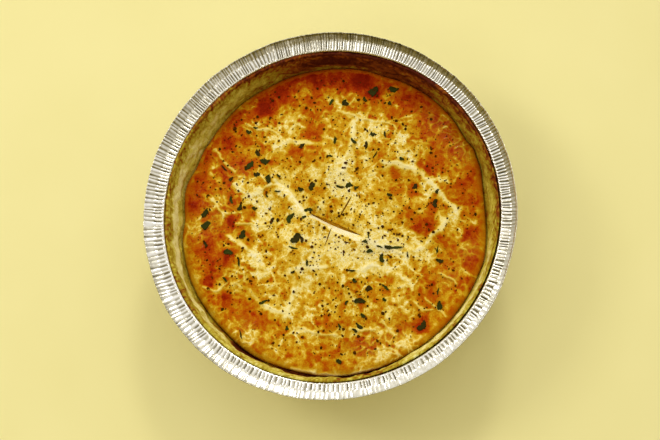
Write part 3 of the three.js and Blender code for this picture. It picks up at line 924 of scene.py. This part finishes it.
def flake_places():
    draw = seeded_draw(FLAKE_SEED)
    places = list(LARGE_FLAKES)
    for _ in range(SMALL_FLAKES):
        radius = FLAKE_FIELD_RADIUS * math.sqrt(next(draw))
        angle = TAU * next(draw)
        length = mix(*SMALL_FLAKE_LENGTH, next(draw))
        width = length * mix(*SMALL_FLAKE_SLENDER, next(draw))
        places.append((radius * math.cos(angle), radius * math.sin(angle), length, width, 180 * next(draw)))
    for x, y in SLIVER_PLACES:
        length, width = mix(*SLIVER_LENGTH, next(draw)), mix(*SLIVER_WIDTH, next(draw))
        places.append((x, y, length, width, 180 * next(draw)))
    return places


def leaf(place, chance):
    """Plan and lift of one ragged flake, as rows of points across its length."""
    x, y, length, width, turn = place
    shape = (LEAF_ROWS, LEAF_COLUMNS)
    along = np.linspace(-1, 1, LEAF_ROWS)[:, None]
    across = np.linspace(-1, 1, LEAF_COLUMNS)[None, :]
    girth = np.sqrt(np.clip(1 - along ** 2, 0.02, 1)) * chance.uniform(0.65, 1.15, (LEAF_ROWS, 1))
    girth *= 1.1 - chance.uniform(0, 0.3) * (1 + along)
    plan_x = 0.56 * length * along + 0.08 * length * chance.uniform(-1, 1, shape)
    plan_y = width / 2 * across * girth + 0.15 * width * np.sin(2.5 * along + chance.uniform(0, 6))
    curl = chance.uniform(0.0, 0.5) * along ** 2 + chance.uniform(-0.25, 0.35) * across ** 2
    lift = 0.25 + curl + 0.12 * chance.uniform(-1, 1, shape)
    cosine, sine = math.cos(math.radians(turn)), math.sin(math.radians(turn))
    return x + cosine * plan_x - sine * plan_y, y + sine * plan_x + cosine * plan_y, lift


def leaf_faces():
    """Faces of a thin leaf, each row of whose points goes back over the top and out again below."""
    count = 2 * LEAF_COLUMNS
    faces = band_faces(LEAF_ROWS, count)
    for step in range(LEAF_COLUMNS - 1):
        end = np.array([step + 1, step, count - 1 - step, count - 2 - step])
        faces += [end.tolist(), (end[::-1] + (LEAF_ROWS - 1) * count).tolist()]
    return np.array(faces)


def herb_piece():
    chance = np.random.default_rng(LEAF_SEED)
    leaves, tones = [], []
    for place in flake_places():
        leaves.append(leaf(place, chance))
        tones.append(chance.uniform(*LEAF_TONES))
    x, y, lift = np.stack(leaves, axis=1)
    ground = crust_surface(x.ravel(), y.ravel())[0].reshape(x.shape)
    level = 0.5 * ground + 0.5 * ground.mean(axis=(1, 2), keepdims=True) + lift
    upper = np.stack([x, y, level], axis=-1)
    points = np.concatenate([upper[:, :, ::-1], upper - (0, 0, FLAKE_THICKNESS)], axis=2)
    count = 2 * LEAF_ROWS * LEAF_COLUMNS
    faces = [leaf_faces() + count * index for index in range(len(leaves))]
    piece = make_mesh("herb_flakes", points.reshape(-1, 3), np.vstack(faces).tolist())
    set_attribute(piece.data, "tone", np.repeat(tones, count))
    return piece


def ball():
    """Points and faces of a round grain, 1 across."""
    shape = bmesh.new()
    bmesh.ops.create_icosphere(shape, subdivisions=2, radius=0.5)
    points = np.array([vertex.co for vertex in shape.verts])
    faces = np.array([[vertex.index for vertex in face.verts] for face in shape.faces])
    shape.free()
    return points, faces


def pepper_piece():
    """Rough grains scattered over the lid, denser in the middle; the coarse ones are darker."""
    chance = np.random.default_rng(PEPPER_SEED)
    grain, grain_faces = ball()
    angle = chance.uniform(0, TAU, PEPPER_SPECKS)
    radius = PEPPER_FIELD_RADIUS * chance.uniform(0, 1, PEPPER_SPECKS) ** 0.6
    x, y = radius * np.cos(angle), radius * np.sin(angle)
    height, _, _ = crust_surface(x, y)
    _, on_fold, _ = fold_shape(x, y)
    points, faces, tones = [], [], []
    for index in np.flatnonzero(on_fold < 0.1):
        coarse = chance.uniform() ** 3
        size = mix(*PEPPER_SIZE, coarse)
        stretch = size * chance.uniform(*PEPPER_STRETCH, 3) * (1, 1, PEPPER_FLATNESS)
        spun = Matrix.Rotation(chance.uniform(0, TAU), 3, "Z")
        rough = grain * stretch * (1 + PEPPER_ROUGHNESS * chance.uniform(-1, 1, (len(grain), 1)))
        faces.append(grain_faces + len(grain) * len(points))
        points.append(rough @ np.array(spun).T + (x[index], y[index], height[index] + 0.12 * size))
        tones.append(np.full(len(grain), chance.uniform() * mix(0.9, 0.25, coarse)))
    piece = make_mesh("pepper_specks", np.vstack(points), np.vstack(faces).tolist())
    set_attribute(piece.data, "tone", np.concatenate(tones))
    return piece


# Pastry case

def wall_radius(height):
    """Inside of the foil wall at a height."""
    return mix(FLOOR_RADIUS, MOUTH_RADIUS, height / FLANGE_HEIGHT)


def foil_inside(height, angle):
    """Inside of the foil wall where the mouth is pushed a little out of round."""
    share = np.clip((height - MOUTH_LEAN_START) / (FLANGE_HEIGHT - MOUTH_LEAN_START), 0, 1) ** 1.3
    return wall_radius(height) + share * (MOUTH_GROWTH + MOUTH_LEAN * toward(angle, MOUTH_LEAN_TOWARD))


def crest_height(angle):
    height = np.full_like(angle, CREST_HEIGHT)
    for count, rise, _, phase in WALL_WAVES:
        height += rise * np.sin(count * angle + math.radians(phase))
    return height


def wall_face(up, angle):
    """Inner face of the pastry wall: up is 0 beside the lid and 1 at the top."""
    crest = crest_height(angle)
    clearance = LID_CLEARANCE * smooth_step(0.8, 0.2, np.sin(angle))
    radius = mix(lid_radius(angle) + clearance, wall_radius(crest) - GAP - CREST_WIDTH, up)
    for count, _, swell, phase in WALL_WAVES:
        radius = radius - swell * math.sin(math.pi * up) * (1 + np.sin(count * angle - math.radians(phase)))
    return radius, mix(LID_EDGE_HEIGHT - EDGE_DROP, crest, up)


def corner_rows(height, inset, steps):
    """The rounded turn from a floor up into the wall, as (radius, height) pairs."""
    start = np.array([wall_radius(height) - inset - CORNER_RADIUS, height])
    bend = np.array([wall_radius(height) - inset, height])
    end = np.array([wall_radius(height + CORNER_RADIUS) - inset, height + CORNER_RADIUS])
    shares = np.linspace(0, 1, steps)
    return [(1 - t) ** 2 * start + 2 * t * (1 - t) * bend + t ** 2 * end for t in shares]


def gap_share(angle):
    """1 where the wall stands away from the lid in a dark gap, and how far up the wall the painted shade
    goes.
    """
    share, top = np.zeros_like(angle), np.zeros_like(angle)
    for at, half_width, shade_top in EDGE_GAPS:
        inside = np.exp(-(degrees_from(angle, at) / half_width) ** 4)
        share = np.maximum(share, inside)
        top = np.maximum(top, shade_top * inside)
    return share, top


def inner_wall_row(up, angle, ragged, crevice, gap):
    """One row of the wall's lumpy inner face."""
    radius, height = wall_face(up, angle)
    height = height + ragged * up ** 3 - 1.5 * gap * (1 - up) ** 2
    inside = foil_inside(height, angle)
    radius = radius + up * (inside - wall_radius(height))
    at = ring_points(radius, height, angle)
    swell = noise_sum(at, (0.9, 7, 23), (0.14, 1.1, 40)) + 0.45 * noise_at(at * (1, 1, 1.3), 3.2, 24)
    swell += EDGE_GAP_DEPTH * gap * smooth_step(0.65, 0.35, up)
    radius = radius + smooth_step(0.0, 0.12, up) * swell
    return ring_points(np.minimum(radius, inside - 2 * GAP - crevice), height, angle)


def pastry_piece():
    angle = TAU * np.arange(WALL_STEPS) / WALL_STEPS
    circle = ring_points(MOUTH_RADIUS, 0, angle)
    ragged = CREST_LIFT + noise_sum(circle, (0.5, 9, 21), (0.5, 2, 22))
    crest = crest_height(angle) + ragged
    crevice = CREVICE * smooth_step(0.3, 0.9, toward(angle, CREVICE_TOWARD))
    gap, _ = gap_share(angle)
    gap = np.clip(gap + noise_sum(circle, (0.5, 3.5, 29), (0.4, 1.5, 38)) * (gap > 0.02), 0, 1)
    rows = [ring_points(*turn, angle) for turn in corner_rows(PASTRY_FLOOR, GAP, 4)]
    for below, share in ((8, 0), (3, 0), (0.4, 0.7), (0, 1)):
        radius = foil_inside(crest - below, angle) - GAP - share * (crevice - 0.1)
        rows.append(ring_points(radius, crest - below, angle))
    rows += [inner_wall_row(up, angle, ragged, crevice, gap) for up in np.linspace(1, 0, WALL_ROWS)]
    bed = LID_UNDERSIDE - GAP
    rows.append(ring_points(lid_radius(angle) - LID_UNDERCUT + LID_CLEARANCE, bed, angle))
    piece, points = closed_rings("pastry_wall", rows, (0, 0, PASTRY_FLOOR), (0, 0, bed))
    set_attribute(piece.data, "brown_and_shade", wall_brown_and_shade(points))
    return piece


def wall_brown_and_shade(points):
    """How browned the pastry wall is: bands along it, with cracks, and painted shade in the dark gaps beside
    the lid and along the top next to the foil.
    """
    angle = np.arctan2(points[:, 1], points[:, 0])
    ragged = angle + noise_sum(points, (0.07, 8, 41), (0.03, 2.5, 42))
    top, middle, foot = (around(WALL_TONES, ragged, column) for column in (1, 2, 3))
    up = np.clip((points[:, 2] - LID_EDGE_HEIGHT) / (CREST_HEIGHT - LID_EDGE_HEIGHT), 0, 1.1)
    wavy = up + 0.12 * noise_at(points, 8, 25)
    brown_and_shade = mix(foot, middle, smooth_step(*FOOT_TO_MIDDLE, wavy))
    brown_and_shade = mix(brown_and_shade, top, smooth_step(*MIDDLE_TO_TOP, wavy + 0.15 * noise_at(points, 2, 26)))
    flat_crack = noise_lines(points * (1, 1, 2), (6, 25, 0.04))
    brown_and_shade += 0.25 * np.maximum(flat_crack, noise_lines(points, (3, 31, 0.04)))
    brown_and_shade += 0.14 * noise_at(points, 10, 27) + 0.18 * noise_at(points * (1, 1, 1.6), 3.5, 28)
    brown_and_shade += 0.3 * noise_at(points, 1.2, 39) * smooth_step(0.6, 0.9, up)
    gap, shade_top = gap_share(ragged)
    far_side = smooth_step(0.1, 0.7, np.sin(angle))
    # Darker along the top next to the foil, most on the far side: browning, and painted shade in the crevice
    # between pastry and foil
    brown_and_shade += mix(0.04, 0.22, far_side) * smooth_step(0.88, 1.0, up) * (1 - gap)
    # Painted shade in the gaps beside the lid, reaching up the wall to the gap's limit, with mottling
    shade_reach = up + noise_sum(points, (0.2, 1.8, 30), (0.2, 5, 43))
    brown_and_shade += gap * (0.3 * noise_at(points, 1.4, 51) + 0.55 * smooth_step(0.2, -0.3, shade_reach - shade_top))
    return np.clip(brown_and_shade, 0, 1)


# Foil tin

def pleat_pattern():
    """Uneven pleats: angles of the sheet's points, their crimp (-1 in a groove), how far each runs out."""
    chance = np.random.default_rng(PLEAT_SEED)
    widths = chance.uniform(*PLEAT_WIDTHS, PLEATS)
    widths *= 1 + PLAIN_WIDENING * toward(TAU * np.arange(PLEATS) / PLEATS, PLAIN_TOWARD)
    widths *= TAU / widths.sum()
    starts = np.cumsum(widths) - widths
    flat = chance.uniform(*PLEAT_FLATS, PLEATS)
    tilt = PLEAT_TILT * chance.uniform(-1, 1, PLEATS)
    depth = chance.uniform(*PLEAT_DEPTHS, PLEATS)
    level = np.zeros(PLEATS)
    shares = np.column_stack([level, 0.5 * flat, flat, mix(flat, 1, 0.35), mix(flat, 1, 0.7)])
    crimp = np.column_stack([tilt, level, -tilt, -depth, -0.8 * depth])
    angle = starts[:, None] + shares * widths[:, None]
    run = np.repeat(chance.uniform(*PLEAT_RUNS, PLEATS), shares.shape[1])
    return angle.ravel(), crimp.ravel(), run


def foil_pattern():
    """How the foil varies around the tin: pleats, lean, sag and creases of the lip, creases of the wall, and
    how much shade is painted into the pleats' grooves and the lip's creases.
    """
    foil = SimpleNamespace()
    foil.angle, foil.crimp, foil.run = pleat_pattern()
    circle = ring_points(MOUTH_RADIUS, 0, foil.angle)
    foil.hatched = smooth_step(-0.6, 0.4, toward(foil.angle, HATCH_TOWARD))
    # Painted shade along the lip's fine creases, strongest on the hatched side
    foil.hatch = np.clip(0.25 + 1.6 * noise_at(circle, 0.7, 37), 0, 1) * mix(0.25, 1, foil.hatched)
    foil.lip_crimp = LIP_CRIMP * noise_sum(circle, (1, 1.1, 32), (0.8, 2.4, 33)) * mix(0.45, 1, foil.hatched)
    foil.lean = LIP_LEAN * toward(foil.angle, LIP_LEAN_TOWARD) + 0.35 * noise_at(circle, 14, 31)
    foil.sag = LIP_SAG * smooth_step(0.5, 0.95, toward(foil.angle, LIP_SAG_TOWARD))
    foil.plain = smooth_step(-0.2, 0.7, toward(foil.angle, PLAIN_TOWARD))
    # How dark the painted shade in the pleats' grooves is: less on the far side and on the plain side
    foil.contrast = mix(0.55, 0.85, smooth_step(0.9, 0.0, np.sin(foil.angle))) * mix(1, 0.7, foil.plain)
    foil.wall_crease = noise_lines(circle, (6, 50, 0.08))
    foil.slant = math.radians(PLEAT_SLANT) * noise_at(circle, 8, 34)
    foil.shift = foil_inside(FLANGE_HEIGHT, foil.angle) - MOUTH_RADIUS
    return foil


def rim_rows():
    """The foil sheet from the top of the wall out to the lip's edge: radius, height, lip share."""
    fold = MOUTH_RADIUS + FLANGE_WIDTH
    edge = fold + LIP_REACH
    keys = np.array([
        (wall_radius(WALL_TOP), WALL_TOP, 0),
        (MOUTH_RADIUS - 0.05, WALL_TOP + 0.6, 0),
        (MOUTH_RADIUS + 0.5, FLANGE_HEIGHT - 0.25, 0),
        (fold - 0.7, FLANGE_HEIGHT + 0.25, 0),
        (fold, FLANGE_HEIGHT + 0.45, 0.2),
        (edge - 0.6, RIM_HEIGHT - 0.9, 0.8),
        (edge - 0.1, RIM_HEIGHT - 0.4, 1),
        (edge + 0.05, RIM_HEIGHT - 0.1, 1),
        (edge + 0.2, RIM_HEIGHT - 0.2, 1),
    ])
    lengths = np.concatenate([[0], np.cumsum(np.hypot(*np.diff(keys[:, :2], axis=0).T))])
    at = np.linspace(0, lengths[-1], RIM_ROWS)
    return np.column_stack([np.interp(at, lengths, column) for column in keys.T])


def rim_ring(row, drop, foil):
    """One ring of the pleated flange and lip: its points, and how bright the foil is painted at each, with
    painted reflections around the tin and painted shade in the pleats' grooves and along the lip's creases.
    """
    radius, height, lip_share = row
    outward = (radius - MOUTH_RADIUS) / FLANGE_WIDTH
    circle = ring_points(radius, height, foil.angle)
    start, full = (mix(*ends, foil.plain) for ends in zip(PLEAT_START, PLAIN_START))
    pleat_share = smooth_step(start, full, outward)
    left_over = mix(0.15, 0.4, foil.hatched)
    pleat_share *= mix(1, left_over, smooth_step(foil.run - 0.08, foil.run + 0.08, outward))
    lift = PLEAT_DEPTH * pleat_share * foil.crimp + 0.08 * noise_at(circle, 4, 35)
    lift -= drop + lip_share * (foil.lip_crimp + foil.sag)
    reach = radius + smooth_step(1, 0, outward) * foil.shift + lip_share * (foil.lean + foil.lip_crimp)
    # Painted reflections and shade around the tin, for the flange and for the lip
    flange_painted_light, lip_painted_light = (around(FOIL_PAINTED_LIGHT, foil.angle, column) for column in (1, 2))
    shade = 1 + mix(flange_painted_light, lip_painted_light, lip_share) + 0.16 * noise_at(circle, 1.3, 44)
    # Painted shade in the pleats' grooves and along the lip's creases
    shade += foil.contrast * pleat_share * foil.crimp - 0.6 * lip_share * foil.hatch
    return ring_points(reach, height + lift, foil.angle + foil.slant * outward), shade


def wall_ring(height, outset, foil):
    """One ring of the fluted wall, with painted shade in the flutes' grooves and creases."""
    share = smooth_step(*FLUTE_HEIGHTS, height)
    dent = 0.4 * noise_at(ring_points(wall_radius(height), height, foil.angle), 16, 36)
    flute = np.maximum(FLUTE_DEPTH * (foil.crimp + 0.5) - 0.4 * foil.wall_crease + dent, -DEEPEST_FLUTE)
    radius = foil_inside(height, foil.angle) + outset + share * flute
    # Painted shade: darker in the flutes' grooves and creases
    return ring_points(radius, height, foil.angle), 1 + share * (0.5 * foil.crimp - 0.3 * foil.wall_crease)


def smooth_ring(radius, height, foil):
    """One plain round ring."""
    return ring_points(radius, height, foil.angle), np.ones(len(foil.angle))


def tin_piece():
    """The foil from the middle of the floor up the outside, over the rim and back down the inside."""
    foil = foil_pattern()
    floor = [(20, 0)]
    for side, rise in ((-1, 0), (-0.6, BEAD_DEPTH), (0.6, BEAD_DEPTH), (1, 0)):
        floor.append((BEAD_RADIUS + side * BEAD_WIDTH / 2, rise))
    sheet = rim_rows()
    rings = [smooth_ring(*turn, foil) for turn in [*floor, *corner_rows(0, -FOIL, 5)]]
    rings += [wall_ring(height, FOIL, foil) for height in np.linspace(7, WALL_TOP - 0.5, 10)]
    rings += [rim_ring(row, FOIL, foil) for row in sheet[3::3]]
    rings += [rim_ring(row, 0, foil) for row in sheet[::-1]]
    rings += [wall_ring(height, 0, foil) for height in (36, 20, 6)]
    rings += [smooth_ring(*turn, foil) for turn in corner_rows(FOIL, 0, 3)[::-1]]
    points, shades = zip(*rings)
    piece, _ = closed_rings("tin_foil", list(points), (0, 0, 0), (0, 0, FOIL))
    set_attribute(piece.data, "shade", np.concatenate([*shades, np.ones(2)]))
    return piece


# Stage: floor, lights and camera

def make_floor():
    corners = [(-1, -1), (1, -1), (1, 1), (-1, 1)]
    points = [(x * FLOOR_REACH, y * FLOOR_REACH, -FLOOR_DROP) for x, y in corners]
    floor = make_mesh("floor", points, [(0, 1, 2, 3)])
    floor.data.materials.append(make_material("floor_pale", floor_look))


def make_light(name, place, size, power):
    light = bpy.data.lights.new(name, "AREA")
    light.shape = "RECTANGLE"
    light.size, light.size_y = (side * MM for side in size)
    light.energy = power
    light.color = LIGHT_COLOUR
    lamp = bpy.data.objects.new(name, light)
    lamp.location = Vector(place) * MM
    lamp.rotation_euler = (Vector(LIGHT_TARGET) - Vector(place)).to_track_quat("-Z", "Y").to_euler()
    bpy.context.scene.collection.objects.link(lamp)


def make_world():
    """A soft studio: bright on the far side, dim and warm on the near side."""
    world = bpy.data.worlds.new("studio")
    world.use_nodes = True
    tree = world.node_tree
    place = add_node(tree, "ShaderNodeTexCoord").outputs["Generated"]
    inputs = {0: place, 1: BRIGHT_SIDE}
    bright = add_node(tree, "ShaderNodeVectorMath", inputs, operation="DOT_PRODUCT").outputs["Value"]
    inputs = {"Value": bright, "From Min": -0.4, "From Max": 1.0}
    share = add_node(tree, "ShaderNodeMapRange", inputs, interpolation_type="SMOOTHSTEP").outputs["Result"]
    set_inputs(tree, tree.nodes["Background"], {"Color": ramp(tree, share, STUDIO_COLOURS)})
    bpy.context.scene.world = world
    bpy.context.scene.view_settings.view_transform = "Standard"


def make_camera():
    tilt, side = math.radians(CAMERA_TILT), math.radians(CAMERA_SIDE)
    back = Vector((math.sin(tilt) * math.sin(side), -math.sin(tilt) * math.cos(side), math.cos(tilt)))
    right = Vector((0, 1, 0)).cross(back).normalized()
    up = back.cross(right)
    shift_x = (FLANGE_CENTRE_PIXEL[0] - PHOTO_WIDTH / 2) * MM_PER_PIXEL
    shift_y = (FLANGE_CENTRE_PIXEL[1] - PHOTO_HEIGHT / 2) * MM_PER_PIXEL
    place = Vector((0, 0, FLANGE_HEIGHT)) + back * CAMERA_DISTANCE - right * shift_x + up * shift_y
    lens = bpy.data.cameras.new("camera")
    lens.sensor_width = SENSOR_WIDTH
    lens.lens = CAMERA_DISTANCE / MM_PER_PIXEL * SENSOR_WIDTH / PHOTO_WIDTH
    camera = bpy.data.objects.new("camera", lens)
    camera.matrix_world = Matrix((right, up, back)).transposed().to_4x4()
    camera.location = place * MM
    bpy.context.scene.collection.objects.link(camera)
    bpy.context.scene.camera = camera


make_camera()
make_world()
for lamp_row in LIGHTS:
    make_light(*lamp_row)
make_floor()
finish_piece(tin_piece(), make_material("foil_bright", foil_look), "foil_tin")
finish_piece(pastry_piece(), make_material("pastry_pale", pastry_look), "pastry_case")
finish_piece(crust_piece(), make_material("crust_glazed", crust_look), "top_crust")
finish_piece(herb_piece(), make_material("herb_dried", herb_look))
finish_piece(pepper_piece(), make_material("pepper_ground", pepper_look))
